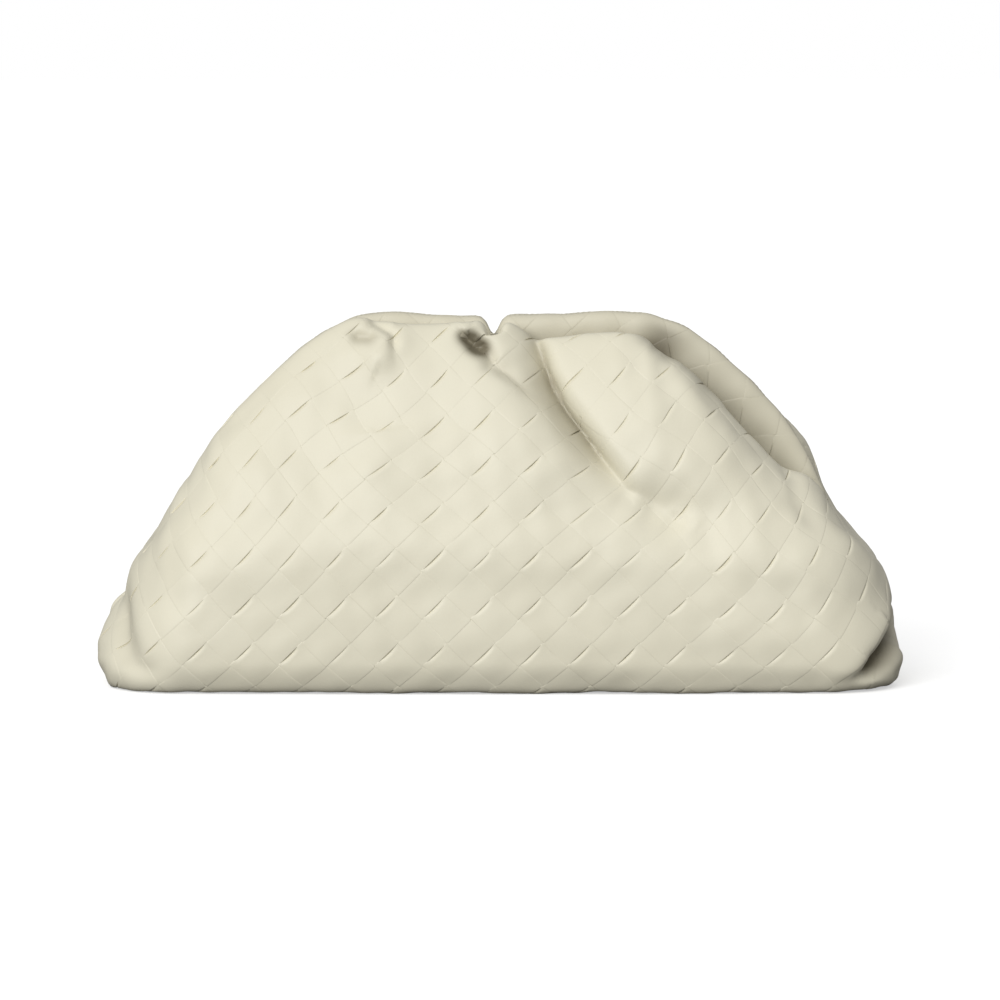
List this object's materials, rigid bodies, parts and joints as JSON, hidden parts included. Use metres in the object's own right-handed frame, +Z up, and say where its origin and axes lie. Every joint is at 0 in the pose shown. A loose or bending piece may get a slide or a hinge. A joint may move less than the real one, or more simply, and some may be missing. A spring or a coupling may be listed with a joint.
{
  "type": "woven leather pouch bag",
  "caption": "Soft flat-bottomed pouch bag of wide woven leather strips, gathered onto an arched hinged frame that is wrapped in the same leather.",
  "frame": {"origin": "middle of the flat base, on the surface that the bag stands on", "axes": "+X to the viewer's right when looking at the front, +Y from front to back, +Z up"},
  "size_m": [0.389, 0.14, 0.18],
  "materials": {
    "woven_leather": "matt, soft, off-white, woven from wide flat strips",
    "hinge_steel": "plain satin steel"
  },
  "bodies": {
    "root": {"woven_body": "woven_leather", "front_lip": "woven_leather", "rear_lip": "woven_leather", "left_hinge_pin": "hinge_steel", "right_hinge_pin": "hinge_steel"}
  },
  "joints": []
}
